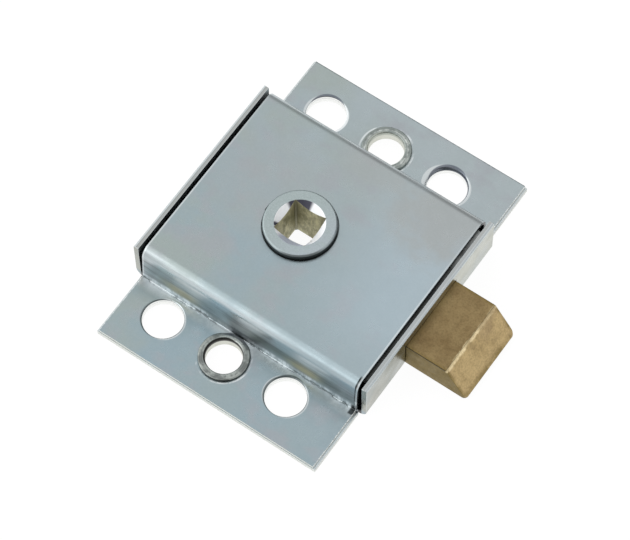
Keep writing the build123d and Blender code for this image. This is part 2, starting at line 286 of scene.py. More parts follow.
def zincFoot(tree, colour, place, x, y, z, look):
    # on the cover's foot: a painted reflection in a strip beside the step, painted shade broken along the
    # crease, painted highlight arcs round the eyelets, and painted shade on a crushed spot at the front
    # corner beside the bolt's wall
    away = calc(tree, "ABSOLUTE", y)
    wander = noise(tree, place, look["wanderPerMetre"], 5.0, 0.7, (1.0, 0.5, 1.0))
    onFoot = near(tree, z, footTop, 0.15 * mm, 0.1 * mm)
    past = calc(tree, "SUBTRACT", away, sheetPlaces["stepFoot"])
    # painted reflection: a pale strip on the foot beside the step
    sheenStrip = both(tree, ease(tree, past, -0.1 * mm, 0.1 * mm), ease(tree, past, 3.0 * mm, 0.3 * mm, 0.0, 0.9),
                 ease(tree, wander, 0.35, 0.6, 1.0, 0.45))
    colour = paint(tree, colour, look["bareAndSheen"], onFoot, sheenStrip)
    # painted highlight: a pale arc on the foot round each eyelet
    fromEyelet = fromAxis(tree, x, away, 0.0, sheetPlaces["holeAlong"])
    arc = near(tree, fromEyelet, sheetPlaces["eyeletRadius"] + 0.3 * mm, 0.1 * mm, 0.2 * mm)
    colour = paint(tree, colour, look["bareAndSheen"], onFoot, arc, ease(tree, wander, 0.45, 0.6, 0.0, 0.6))
    # painted shade: a dark broken line along the crease at the step's foot
    shifted = calc(tree, "ADD", past, ease(tree, wander, 0.35, 0.65, -0.4 * mm, 0.3 * mm))
    crease = both(tree, near(tree, shifted, 0.1 * mm, 0.06 * mm, 0.13 * mm),
                  ease(tree, z, 3.0 * mm, 2.6 * mm), ease(tree, wander, 0.40, 0.52, 0.15, 0.75))
    colour = paint(tree, colour, look["dullAndShade"], crease)
    # painted shade on a crushed spot at the front corner
    crushShadeX = near(tree, x, caseMiddle + coverHalf - 0.5 * mm, 0.5 * mm, 0.4 * mm)
    crushShadeY = near(tree, y, -25.0 * mm, 0.7 * mm, 0.5 * mm, 0.0, 0.9)
    return paint(tree, colour, look["shade"], crushShadeX, crushShadeY, ease(tree, z, 4.0 * mm, 3.0 * mm))


# painted shade and painted highlights: arcs round each fixing hole, by the side of x and y on which it lies,
# painted in this order; each is (degrees it leans to, how far, radius, colour), in mm
rimArcs = {(-1, -1): [(-12, 0.50, 4.58, "silverHighlight"), (-12, 0.24, 4.50, "dullAndShade"), (205, 0.32, 4.60, "dullAndShade")],
           (1, -1): [(-12, 0.50, 4.56, "silverHighlight"), (172, 0.72, 4.50, "silverHighlight"), (-12, 0.24, 4.48, "dullAndShade"),
                     (178, 0.42, 4.58, "dullAndShade"), (112, 1.10, 4.00, "dullAndShade")],
           (-1, 1): [(2, 0.50, 4.56, "bareAndSheen"), (188, 0.52, 4.60, "silverHighlight"), (118, 1.15, 4.00, "duskShade")],
           (1, 1): [(0, 0.72, 4.66, "silverHighlight"), (172, 1.25, 4.66, "silverHighlight"), (120, 1.25, 4.30, "duskShade"),
                    (20, 0.24, 4.54, "duskShade")]}


def zincRims(tree, colour, x, y, z, look):
    # painted shade and highlights round the fixing holes, as crescents: the part of a circle, leaning to one
    # side, that the hole leaves
    onFoot = near(tree, z, footTop - 0.3 * mm, 0.4 * mm, 0.1 * mm)
    for (sideX, sideY), arcs in rimArcs.items():
        for degrees, lean, radius, key in arcs:
            middleX = sideX * sheetPlaces["holeAcross"] + lean * mm * math.cos(math.radians(degrees))
            middleY = sideY * sheetPlaces["holeAlong"] + lean * mm * math.sin(math.radians(degrees))
            reach = fromAxis(tree, x, y, middleX, middleY)
            arc = ease(tree, reach, (radius + 0.12) * mm, (radius - 0.12) * mm, 0.0, 0.85)
            colour = paint(tree, colour, look[key], onFoot, arc)
    return colour


def zincWalls(tree, colour, place, fine, x, y, z, fromMiddle, look):
    # cream painted reflection, in patches, on the bolt's wall and the walls' ends, an oiled patch beside the
    # bolt, a painted highlight line along the cover's side edges, pale wall tops with a dark line on the tail
    # one, a ragged line at the rear edge
    away = calc(tree, "ABSOLUTE", y)
    onWall = ease(tree, fromMiddle, wallInner - 0.05 * mm, wallInner)
    creamPatches = noise(tree, place, look["creamPatchesPerMetre"], 3.0, 0.6, (1.0, 0.5, 1.0))
    # painted reflection: cream as from the floor, in patches, darker toward the front, on the bolt's wall and
    # the walls' ends
    creamReflection = blendColour(tree, ease(tree, y, 4 * mm, -14 * mm), look["creamReflection"], look["creamReflectionFront"])
    boltWall = ease(tree, x, caseHigh.x - 0.15 * mm, caseHigh.x - 0.05 * mm)
    colour = paint(tree, colour, creamReflection, boltWall, ease(tree, creamPatches, 0.3, 0.6, 0.55, 0.95))
    wallEnd = both(tree, onWall, ease(tree, z, footTop, footTop + 0.3 * mm),
                   ease(tree, away, sheetPlaces["wallEnd"] - 0.15 * mm, sheetPlaces["wallEnd"] - 0.05 * mm))
    colour = paint(tree, colour, creamReflection, wallEnd, ease(tree, creamPatches, 0.35, 0.6, 0.5, 0.9))
    besideBolt, high = near(tree, y, -13.5 * mm, 1.5 * mm, 4.5 * mm), ease(tree, z, 6 * mm, 11 * mm, 0.0, 0.7)
    colour = paint(tree, colour, look["oiled"], boltWall, besideBolt, high)
    # painted highlight: a bright line along the cover's side edges
    coverEdge = both(tree, near(tree, fromMiddle, coverHalf - 0.28 * mm, 0.1 * mm, 0.12 * mm),
                     ease(tree, z, 2.5 * mm, 2.8 * mm), ease(tree, y, 24 * mm, -10 * mm, 0.1, 0.4))
    colour = paint(tree, colour, look["bareAndSheen"], coverEdge)
    top = ease(tree, z, caseTop - 0.3 * mm, caseTop - 0.1 * mm)
    colour = paint(tree, colour, look["wallTop"], onWall, top, 0.6)
    tailLine = near(tree, fromMiddle, caseHalf - 0.62 * mm, 0.05 * mm, 0.12 * mm)
    colour = paint(tree, colour, look["dullAndShade"], tailLine, top, ease(tree, x, 0.0, -1 * mm, 0.0, 0.3))
    ragged = calc(tree, "ADD", y, calc(tree, "MULTIPLY", ease(tree, fine, 0.3, 0.7), -0.12 * mm))
    rearLine = ease(tree, ragged, plateEnd - 0.42 * mm, plateEnd - 0.3 * mm, 0.0, 0.6)
    return paint(tree, colour, look["dullAndShade"], rearLine, ease(tree, z, footTop - 0.4 * mm, footTop - 0.2 * mm))


def zincBreak(tree, colour, fine, z, fromMiddle, holes, look):
    # broken edges: rubbed bright above the flanges, partly a painted highlight, darker on them away from the
    # holes, and a painted highlight along the foot's sides
    above = ease(tree, z, footTop + 0.1 * mm, footTop + 0.3 * mm)
    colour = paint(tree, colour, look["wornAndSheen"], above, 0.5)
    low = both(tree, calc(tree, "SUBTRACT", 1.0, above), ease(tree, holes, 5.3 * mm, 5.5 * mm))
    colour = paint(tree, colour, look["dullAndShade"], low, 0.3)
    footSide = near(tree, fromMiddle, sheetPlaces["footHalf"], 0.1 * mm, 0.1 * mm)
    return paint(tree, colour, look["bareAndSheen"], low, footSide, ease(tree, fine, 0.4, 0.6, 0.2, 1.0))


def zincSheet(name, look, edge=False):
    # clouds and grain all over, then step, foot, walls, painted light on the sheared flange edges, the ledges
    # and the hole walls, painted shade and highlights round the holes, and painted shade in the gaps
    material, tree, shader, place, (x, y, z) = newMaterial(name)
    footHalf, stepFoot, holeRadius = (sheetPlaces[k] for k in ("footHalf", "stepFoot", "holeRadius"))
    away = calc(tree, "ABSOLUTE", y)
    fromMiddle = calc(tree, "ABSOLUTE", calc(tree, "SUBTRACT", x, caseMiddle))
    across = calc(tree, "ABSOLUTE", x)
    holes = fromAxis(tree, across, away, sheetPlaces["holeAcross"], sheetPlaces["holeAlong"])
    fine = noise(tree, place, look["grainPerMetre"], 2.0, 0.6)
    colour = zincClouds(tree, place, x, y, z, look)
    colour = paint(tree, colour, look["wornAndSheen"], ease(tree, fine, 0.3, 0.75, 0.0, 0.06))
    colour, lines, stepFace, drawn = zincStep(tree, colour, place, x, y, z, look)
    colour = zincFoot(tree, colour, place, x, y, z, look)
    colour = zincWalls(tree, colour, place, fine, x, y, z, fromMiddle, look)
    if edge:
        colour = zincBreak(tree, colour, fine, z, fromMiddle, holes, look)
    standing = upright(tree)
    beyond = ease(tree, away, stepFoot - 0.1 * mm, stepFoot + 0.3 * mm)
    # painted reflection: the sheared side faces of the flanges made near white
    shearedSheen = both(tree, standing, ease(tree, z, footTop + 0.05 * mm, footTop - 0.05 * mm), beyond)
    colour = paint(tree, colour, look["shearedSheen"], shearedSheen, 0.9)
    # painted highlight on the plate's ledge beside the cover's foot
    ledge = both(tree, ease(tree, fromMiddle, footHalf - 0.02 * mm, footHalf + 0.05 * mm),
                 ease(tree, z, 1.6 * mm, 1.5 * mm), ease(tree, standing, 0.6, 0.4))
    colour = paint(tree, colour, look["bareAndSheen"], ledge, beyond, 0.45)
    colour = zincRims(tree, colour, x, y, z, look)
    # painted reflection: the hole walls near white, as the pale floor seen in their cut metal
    holeWall = ease(tree, holes, holeRadius + 0.06 * mm, holeRadius)
    colour = paint(tree, colour, look["cut"], holeWall, standing)
    gapHalf = sheetPlaces["gap"] / 2
    tailGap = caseMiddle - wallInner + gapHalf
    deep = ease(tree, x, tailGap, tailGap - 0.4 * gapHalf, 0.3 * mm, 2.2 * mm)
    gap = both(tree, near(tree, fromMiddle, wallInner - gapHalf, gapHalf + 0.02 * mm, 0.05 * mm),
               ease(tree, z, caseTop - 0.08 * mm, calc(tree, "SUBTRACT", caseTop, deep)),
               ease(tree, away, 24.4 * mm, 24.0 * mm), standing)
    colour = paint(tree, colour, look["shade"], gap)
    setSocket(tree, shader.inputs["Base Color"], colour)
    matt = calc(tree, "MAXIMUM", gap, both(tree, shearedSheen, ease(tree, holes, 5 * mm, 6 * mm, 0.0, 0.75)))
    setSocket(tree, shader.inputs["Metallic"], calc(tree, "SUBTRACT", 1.0, matt))
    uneven = noise(tree, place, look["unevenPerMetre"], 4.0, 0.6)
    rough = ease(tree, uneven, 0.3, 0.7, look["roughLow"], look["roughHigh"])
    rough = calc(tree, "ADD", rough, calc(tree, "MULTIPLY", stepFace, look["stepRougher"]))
    setSocket(tree, shader.inputs["Roughness"], rough)
    pits = addNode(tree, "TexVoronoi", {"Vector": place, "Scale": look["pitsPerMetre"]}, feature="F1")
    height = calc(tree, "ADD", both(tree, fine, look["grainHeight"]),
                  ease(tree, pits, 0.05, 0.14, 0.0, look["pitHeight"]))
    height = calc(tree, "ADD", height, both(tree, drawn, lines, look["lineHeight"]))
    addBump(tree, shader, height, look["bumpDepth"])
    return material


zinc = zincSheet("brightZinc", zincLook)
zincEdge = zincSheet("brightZincEdge", zincLook, edge=True)
# painted shade: the slide, seen only down the gaps, made dark all over
slideShadeLook = dict(zincLook, front=(0.05, 0.055, 0.055), rear=(0.07, 0.075, 0.07), green=(0.06, 0.06, 0.05),
                   violet=(0.05, 0.05, 0.055), sky=(0.06, 0.065, 0.065), wornAndSheen=(0.12, 0.12, 0.12),
                   roughLow=0.4, roughHigh=0.6)
slideShade = zincSheet("slideShadeZinc", slideShadeLook)

# turned steel of the follower
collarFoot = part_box("cover")[1].z
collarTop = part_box("follower")[1].z
steelLook = {"face": (0.385, 0.455, 0.455), "grain": (0.54, 0.61, 0.62), "mouth": (0.96, 0.98, 1.0),
             "violet": (0.055, 0.055, 0.080), "lilac": (0.50, 0.54, 0.63), "socket": (0.78, 0.75, 0.53),
             "socketDark": (0.36, 0.345, 0.225), "side": (0.085, 0.095, 0.095), "middle": -1.5 * mm,
             "mouthRadius": 5.52 * mm, "halfSquare": 3.97 * mm, "collarRadius": 8.0 * mm,
             "shadeDegrees": -54, "smearsPerMetre": 420, "blotchesPerMetre": 650, "grainPerMetre": 3000,
             "ringsPerMetre": 5000, "roughLow": 0.38, "roughHigh": 0.5, "bumpDepth": 0.01 * mm,
             "bumpStrength": 0.7, "ringHeight": 0.4}


def turnedSteel(name, look):
    # matt grained collar with painted shade on its side, dulled countersink in its mouth painted light with
    # painted shade crescents, olive socket walls with painted shade toward the corners and the top
    material, tree, shader, place, (x, y, z) = newMaterial(name)
    radius = fromAxis(tree, x, y, look["middle"], 0.0)
    sideways = calc(tree, "SUBTRACT", x, look["middle"])
    angle = calc(tree, "ARCTAN2", y, sideways)
    grain = noise(tree, place, look["grainPerMetre"], 3.0, 0.7)
    smears = noise(tree, place, look["smearsPerMetre"], 3.0, 0.6)
    colour = blendColour(tree, ease(tree, grain, 0.35, 0.75, 0.0, 0.7), look["face"], look["grain"])
    slant = calc(tree, "ADD", sideways, calc(tree, "MULTIPLY", y, -0.4))
    towardBolt = ease(tree, slant, -3 * mm, 8 * mm, 0.0, 0.35)
    colour = paint(tree, colour, look["lilac"], towardBolt, ease(tree, smears, 0.3, 0.6, 0.3, 1.0))
    collar = look["collarRadius"]
    # painted shade on the collar's side and on its edge toward shadeDegrees
    side = both(tree, ease(tree, radius, collar - 0.25 * mm, collar - 0.1 * mm),
                ease(tree, z, collarTop - 0.15 * mm, collarTop - 0.45 * mm),
                ease(tree, z, collarFoot - 1.0 * mm, collarFoot))
    lean = toward(tree, sideways, y, look["shadeDegrees"])
    turnedAway = both(tree, ease(tree, radius, collar - 0.38 * mm, collar - 0.2 * mm),
                      ease(tree, lean, 5.6 * mm, 7.4 * mm, 0.0, 0.8))
    colour = paint(tree, colour, look["side"], calc(tree, "MAXIMUM", side, turnedAway))
    # painted light in the countersink: near white, lilac one way, and painted shade crescents two other ways
    inside = ease(tree, radius, look["mouthRadius"] + 0.04 * mm, look["mouthRadius"] - 0.04 * mm)
    tint = blendColour(tree, near(tree, angle, math.radians(-75), 0.55, 0.3), look["mouth"], look["lilac"])
    tint = paint(tree, tint, look["violet"], near(tree, angle, math.radians(124), 0.42, 0.2))
    tint = paint(tree, tint, look["violet"], near(tree, angle, math.radians(-144), 0.04, 0.12))
    colour = paint(tree, colour, tint, inside)
    squareWay = calc(tree, "MAXIMUM", calc(tree, "ABSOLUTE", sideways), calc(tree, "ABSOLUTE", y))
    squareStart, squareEnd = look["halfSquare"] + 0.015 * mm, look["halfSquare"] + 0.05 * mm
    socket = ease(tree, squareWay, squareEnd, squareStart)
    blotches = noise(tree, place, look["blotchesPerMetre"], 4.0, 0.7, (1.0, 1.0, 0.45))
    walls = blendColour(tree, ease(tree, blotches, 0.32, 0.68), look["socket"], look["socketDark"])
    # painted shade toward the socket's corners, more higher up, deepest violet in the corners
    corner = ease(tree, radius, 4.1 * mm, 5.5 * mm, 0.0, 0.85)
    walls = paint(tree, walls, look["socketDark"], corner, ease(tree, z, 2.0 * mm, 8.0 * mm, 0.2, 1.0))
    walls = paint(tree, walls, look["violet"], ease(tree, radius, 5.1 * mm, 5.6 * mm, 0.0, 0.4))
    colour = paint(tree, colour, walls, socket)
    setSocket(tree, shader.inputs["Base Color"], colour)
    dulled = both(tree, inside, ease(tree, squareWay, squareStart, squareEnd, 0.1, 0.7))
    setSocket(tree, shader.inputs["Metallic"], calc(tree, "SUBTRACT", 1.0, dulled))
    rough = ease(tree, grain, 0.3, 0.7, look["roughLow"], look["roughHigh"])
    setSocket(tree, shader.inputs["Roughness"], calc(tree, "ADD", rough, both(tree, socket, 0.2)))
    rings = noise(tree, addNode(tree, "CombineXYZ", {0: radius}), look["ringsPerMetre"], 2.0, 0.6)
    height = calc(tree, "ADD", grain, calc(tree, "MULTIPLY", rings, look["ringHeight"]))
    addBump(tree, shader, height, look["bumpDepth"], look["bumpStrength"])
    return material


turned = turnedSteel("turnedSteel", steelLook)

# dull rolled steel of the eyelets
eyeletLook = {"dark": (0.17, 0.185, 0.18), "pale": (0.44, 0.475, 0.45), "even": (0.30, 0.345, 0.33),
              "shade": (0.035, 0.035, 0.033), "dim": (0.46, 0.49, 0.44), "lit": (0.68, 0.69, 0.62),
              "shadeByStep": (0.13, 0.135, 0.165), "bright": (0.72, 0.76, 0.73), "row": 30.25 * mm,
              "bore": 4.0 * mm, "head": 5.65 * mm, "highlightRing": 4.75 * mm, "groove": 4.85 * mm,
              "lipStart": 1.65 * mm, "lipFull": 2.1 * mm, "lipWidth": 0.12 * mm, "lipFarMore": 0.27 * mm,
              "farDegrees": 190, "stepDegrees": -95, "wobble": 0.4 * mm, "coarsePerMetre": 420,
              "flecksPerMetre": 1500, "ringsPerMetre": 4200, "roughLow": 0.30, "roughHigh": 0.46,
              "bumpDepth": 0.03 * mm}


def rolledSteel(name, look):
    # tool marks run round each eyelet; the front one is dark with painted shade on its inner lip, the rear
    # one pale with a painted highlight ring; painted shade at the heads' rims and where the front head meets
    # the step; the bore painted lit low down
    material, tree, shader, place, (x, y, z) = newMaterial(name)
    along = calc(tree, "SUBTRACT", calc(tree, "ABSOLUTE", y), look["row"])
    radius = fromAxis(tree, x, along, 0.0, 0.0)
    rear = ease(tree, y, -1 * mm, 1 * mm)
    coarse = noise(tree, place, look["coarsePerMetre"], 3.0, 0.6)
    flecks = noise(tree, place, look["flecksPerMetre"], 3.0, 0.7)
    wobble = calc(tree, "MULTIPLY", coarse, look["wobble"])
    aroundAxis = addNode(tree, "CombineXYZ", {0: radius, 1: wobble})
    rings = noise(tree, aroundAxis, look["ringsPerMetre"], 2.0, 0.6)
    colour = blendColour(tree, ease(tree, coarse, 0.38, 0.62), look["dark"], look["pale"])
    colour = paint(tree, colour, look["pale"], ease(tree, rings, 0.4, 0.7, 0.0, 0.45))
    colour = paint(tree, colour, look["even"], rear, 0.65)
    colour = paint(tree, colour, look["bright"], rear, ease(tree, coarse, 0.45, 0.65, 0.0, 0.35))
    # painted highlight: a bright ring on the rear eyelet's head
    highlightRing = near(tree, radius, look["highlightRing"], 0.08 * mm, 0.15 * mm)
    colour = paint(tree, colour, look["bright"], rear, highlightRing, ease(tree, coarse, 0.4, 0.55, 0.3, 0.9))
    # toward the step the front head is brighter inside, with painted shade at its rim against the step
    turn = near(tree, calc(tree, "ARCTAN2", along, x), math.radians(look["stepDegrees"]), 0.35, 0.5)
    towardStep = both(tree, calc(tree, "SUBTRACT", 1.0, rear), turn)
    inward = ease(tree, calc(tree, "ADD", radius, wobble), 5.25 * mm, 4.85 * mm)
    colour = paint(tree, colour, look["bright"], towardStep, inward, 0.6)
    colour = paint(tree, colour, look["shadeByStep"], towardStep, ease(tree, inward, 0.6, 0.2, 0.0, 0.65))
    groove = near(tree, radius, look["groove"], 0.1 * mm, 0.15 * mm)
    colour = paint(tree, colour, look["dark"], groove, ease(tree, flecks, 0.4, 0.6, 0.1, 0.6))
    colour = paint(tree, colour, look["dark"], ease(tree, flecks, 0.52, 0.7, 0.0, 0.6))
    # painted shade at each head's outer rim, strong on the front eyelet
    rimShare = ease(tree, rear, 0.0, 1.0, 0.85, 0.15)
    rim = ease(tree, radius, look["head"] - 0.16 * mm, look["head"] - 0.06 * mm, 0.0, rimShare)
    colour = paint(tree, colour, look["shade"], rim)
    # painted shade on the bore's lip, darkest on the front eyelet and wider on the far side, and painted
    # light on the wall below
    lip = blendColour(tree, rear, look["shade"], look["dim"])
    wall = blendColour(tree, ease(tree, z, look["lipStart"], look["lipFull"]), look["lit"], lip)
    farSide = calc(tree, "DIVIDE", toward(tree, x, along, look["farDegrees"]), radius)
    widening = calc(tree, "MULTIPLY", ease(tree, farSide, 0.1, 0.7), look["lipFarMore"])
    lipRadius = calc(tree, "ADD", look["bore"] + look["lipWidth"], widening)
    mouth = ease(tree, calc(tree, "SUBTRACT", radius, lipRadius), 0.12 * mm, -0.08 * mm)
    colour = paint(tree, colour, wall, mouth)
    setSocket(tree, shader.inputs["Base Color"], colour)
    rough = ease(tree, coarse, 0.3, 0.7, look["roughLow"], look["roughHigh"])
    setSocket(tree, shader.inputs["Roughness"], rough)
    addBump(tree, shader, calc(tree, "ADD", rings, coarse), look["bumpDepth"])
    return material


rolled = rolledSteel("rolledSteel", eyeletLook)

# dull brass of the bolt
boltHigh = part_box("bolt")[1]
brassLook = {"tarnish": (0.225, 0.155, 0.072), "clean": (0.385, 0.285, 0.140), "bevel": (0.575, 0.43, 0.215),
             "rosy": (0.48, 0.35, 0.195), "side": (0.228, 0.166, 0.052), "wornAndSheen": (0.95, 0.80, 0.50),
             "dark": (0.045, 0.034, 0.014), "bevelRun": 5.15 * mm, "bevelDrop": 7.4 * mm,
             "cloudPerMetre": 120, "blotchPerMetre": 330, "grainPerMetre": 2200, "roughLow": 0.38,
             "roughHigh": 0.55, "bumpDepth": 0.035 * mm, "blotchHeight": 0.7, "grainHeight": 0.5}
bevelStart = boltHigh.x - brassLook["bevelRun"]


def sawnBrass(name, look, edge=False):
    # tarnished top and sides with painted shade on the sides, bevel rubbed bright and partly a painted sheen,
    # worn arris where they meet and partly a painted highlight, dark margins and painted shade near the case
    material, tree, shader, place, (x, y, z) = newMaterial(name)
    blotch = noise(tree, place, look["blotchPerMetre"], 4.0, 0.65)
    grain = noise(tree, place, look["grainPerMetre"], 3.0, 0.7)
    cloud = noise(tree, place, look["cloudPerMetre"], 3.0, 0.6)
    mottle = calc(tree, "ADD", calc(tree, "MULTIPLY", cloud, 0.55), calc(tree, "MULTIPLY", blotch, 0.45))
    colour = blendColour(tree, ease(tree, mottle, 0.33, 0.67), look["tarnish"], look["clean"])
    away = calc(tree, "ABSOLUTE", y)
    # painted shade on the bolt's sides
    side = ease(tree, away, boltHigh.y - 0.12 * mm, boltHigh.y - 0.03 * mm)
    colour = paint(tree, colour, look["side"], side)
    drop = calc(tree, "SUBTRACT", boltHigh.z, z)
    run = calc(tree, "MULTIPLY", drop, look["bevelRun"] / look["bevelDrop"])
    line = calc(tree, "SUBTRACT", calc(tree, "SUBTRACT", x, bevelStart), run)
    # the bevel rubbed bright, partly a painted sheen
    bevel = both(tree, ease(tree, line, -0.25 * mm, -0.05 * mm), calc(tree, "SUBTRACT", 1.0, side))
    rubbedAndSheen = blendColour(tree, ease(tree, mottle, 0.42, 0.62, 0.0, 0.7), look["bevel"], look["clean"])
    rubbedAndSheen = paint(tree, rubbedAndSheen, look["rosy"], ease(tree, cloud, 0.40, 0.65, 0.0, 0.55))
    colour = paint(tree, colour, rubbedAndSheen, bevel)
    margin = calc(tree, "MAXIMUM", ease(tree, away, boltHigh.y - 0.9 * mm, boltHigh.y - 0.1 * mm),
                  ease(tree, drop, look["bevelDrop"] - 1.4 * mm, look["bevelDrop"] - 0.2 * mm))
    colour = paint(tree, colour, look["side"], margin, ease(tree, blotch, 0.35, 0.6, 0.25, 0.65))
    # painted shade near the case
    nearCase = ease(tree, x, caseHigh.x + 1.6 * mm, caseHigh.x, 0.0, 0.2)
    colour = paint(tree, colour, look["side"], nearCase)
    behind = ease(tree, x, bevelStart, bevelStart - 0.3 * mm)
    colour = paint(tree, colour, look["dark"], side, behind, ease(tree, drop, 0.6 * mm, 0.3 * mm, 0.0, 0.6))
    colour = paint(tree, colour, look["dark"], ease(tree, grain, 0.35, 0.8, 0.0, 0.35))
    # worn arris, partly a painted highlight
    wander = ease(tree, blotch, 0.35, 0.65, -0.2 * mm, 0.25 * mm)
    arris = near(tree, calc(tree, "ADD", x, wander), bevelStart + 0.14 * mm, 0.16 * mm, 0.3 * mm)
    upper = ease(tree, drop, 0.9 * mm, 0.3 * mm)
    colour = paint(tree, colour, look["wornAndSheen"], arris, upper, ease(tree, mottle, 0.40, 0.58, 1.0, 0.3))
    if edge:
        rim = ease(tree, drop, 0.5 * mm, 0.3 * mm)
        colour = paint(tree, colour, look["dark"], rim, behind, 0.75)
    setSocket(tree, shader.inputs["Base Color"], colour)
    rough = ease(tree, blotch, 0.3, 0.7, look["roughLow"], look["roughHigh"])
    setSocket(tree, shader.inputs["Roughness"], rough)
    height = calc(tree, "ADD", both(tree, blotch, look["blotchHeight"]),
                  both(tree, grain, look["grainHeight"]))
    addBump(tree, shader, height, look["bumpDepth"])
    return material


brass = sawnBrass("sawnBrass", brassLook)
brassEdge = sawnBrass("sawnBrassEdge", brassLook, edge=True)

# drawn wire
wireLook = {"dark": (0.16, 0.165, 0.17), "pale": (0.33, 0.34, 0.35), "patchesPerMetre": 900,
            "roughLow": 0.3, "roughHigh": 0.45, "bumpDepth": 0.01 * mm}


def drawnWire(name, look):
    # dark and pale patches of one noise, which also roughens and lifts the surface
    material, tree, shader, place = newMaterial(name)[:4]
    patches = noise(tree, place, look["patchesPerMetre"], 3.0, 0.6)
    colour = blendColour(tree, ease(tree, patches, 0.35, 0.7), look["dark"], look["pale"])
    setSocket(tree, shader.inputs["Base Color"], colour)
    rough = ease(tree, patches, 0.3, 0.7, look["roughLow"], look["roughHigh"])
    setSocket(tree, shader.inputs["Roughness"], rough)
    addBump(tree, shader, patches, look["bumpDepth"])
    return material


wire = drawnWire("drawnWire", wireLook)
print("materials made")


# sheet and solid pieces with broken edges; each edge is rounded by its piece's width times its share
edgeWidths = {"sheet": 0.7 * mm, "brass": 0.30 * mm, "turned": 0.06 * mm}
edgeSteps = {"weld": 0.001 * mm, "flatDegrees": 0.5, "sharpDegrees": 30, "segments": 3, "smoothing": 50}
edgeShares = {"wallTop": 0.85, "plate": 0.15, "flange": 0.08, "cover": 0.17, "coverTop": 0.36,
              "frontRim": 0.5, "rearTailRim": 0.35, "rearBoltRim": 1.0, "bolt": 0.4, "arris": 0.7}
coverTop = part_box("cover")[1].z
touch = 0.05 * mm


def sharpEdges(mesh, degrees):
    # an edge is sharp where the normals of its two faces differ by more than that
    work = bmesh.new()
    work.from_mesh(mesh)
    angles = np.array([e.calc_face_angle(0.0) for e in work.edges])
    work.free()
    return angles > math.radians(degrees)


def brokenEdges(nodeName, body, face, edge, width, pick=None):
    # copy of a CAD node, welded, its flat facets joined, every sharp edge rounded by width times its share
    mesh = nodes[nodeName].data.copy()
    work = bmesh.new()
    work.from_mesh(mesh)
    bmesh.ops.remove_doubles(work, verts=work.verts, dist=edgeSteps["weld"])
    flat = math.radians(edgeSteps["flatDegrees"])
    bmesh.ops.dissolve_limit(work, angle_limit=flat, verts=work.verts, edges=work.edges)
    work.to_mesh(mesh)
    work.free()
    piece = bpy.data.objects.new(nodeName + "Dressed", mesh)
    bpy.context.scene.collection.objects.link(piece)
    mesh.materials.clear()
    mesh.materials.append(face)
    mesh.materials.append(edge)
    mesh.shade_smooth()
    ends = np.empty(len(mesh.edges) * 2, np.int32)
    mesh.edges.foreach_get("vertices", ends)
    points = np.empty(len(mesh.vertices) * 3)
    mesh.vertices.foreach_get("co", points)
    points = points.reshape(-1, 3)[ends.reshape(-1, 2)]
    sharp = sharpEdges(mesh, edgeSteps["sharpDegrees"])
    share = np.where(sharp, pick(points) if pick else 1.0, 0.0)
    store = mesh.attributes.new("bevel_weight_edge", "FLOAT", "EDGE")
    store.data.foreach_set("value", share.astype(np.float32))
    bevel = piece.modifiers.new("brokenEdge", "BEVEL")
    bevel.limit_method, bevel.width, bevel.segments = "WEIGHT", width, edgeSteps["segments"]
    bevel.material, bevel.use_clamp_overlap, bevel.miter_outer = 1, False, "MITER_SHARP"
    smooth = piece.modifiers.new("evenShading", "WEIGHTED_NORMAL")
    smooth.keep_sharp, smooth.weight = True, edgeSteps["smoothing"]
    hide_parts(nodeName)
    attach(piece, body)


def plateShares(points):
    # outer top edges of both walls are rolled over most, the rest is a light break
    middle = points.mean(axis=1)
    high = points[:, :, 2].min(axis=1) > caseTop - touch
    outer = np.abs(middle[:, 0] - caseMiddle) > caseHalf - touch
    flange = points[:, :, 2].max(axis=1) < footTop
    share = np.where(flange, edgeShares["flange"], edgeShares["plate"])
    return np.where(high & outer, edgeShares["wallTop"], share)


def coverShares(points):
    # rims of the fixing holes are drawn in round, the rear ones most; the rest is a light break
    middle = points.mean(axis=1)
    across = np.abs(middle[:, 0]) - sheetPlaces["holeAcross"]
    along = np.abs(middle[:, 1]) - sheetPlaces["holeAlong"]
    lowest = points[:, :, 2].min(axis=1)
    rim = (np.hypot(across, along) < sheetPlaces["holeRadius"] + 0.1 * mm) & (lowest > footTop - touch)
    rearRim = np.where(middle[:, 0] > 0, edgeShares["rearBoltRim"], edgeShares["rearTailRim"])
    rimShare = np.where(middle[:, 1] > 0, rearRim, edgeShares["frontRim"])
    flange = points[:, :, 2].max(axis=1) < footTop + touch
    lengthways = np.abs(points[:, 1, 0] - points[:, 0, 0]) < 0.01 * mm
    top = lengthways & (lowest > coverTop - touch)
    share = np.where(top, edgeShares["coverTop"], edgeShares["cover"])
    share = np.where(flange & ~lengthways, edgeShares["flange"], share)
    return np.where(rim, rimShare, share)


def boltShares(points):
    # the bevel's upper arris is rubbed rounder than the sawn edges
    middle = points.mean(axis=1)
    arris = (np.abs(middle[:, 0] - bevelStart) < 0.1 * mm) & (middle[:, 2] > boltHigh.z - 0.1 * mm)
    return np.where(arris, edgeShares["arris"], edgeShares["bolt"])


brokenEdges("base_plate", "case", zinc, zincEdge, edgeWidths["sheet"], plateShares)
brokenEdges("cover", "case", zinc, zincEdge, edgeWidths["sheet"], coverShares)
brokenEdges("follower", "follower", turned, turned, edgeWidths["turned"])
brokenEdges("bolt", "bolt", brass, brassEdge, edgeWidths["brass"], boltShares)
print("plate, cover, follower and bolt dressed")


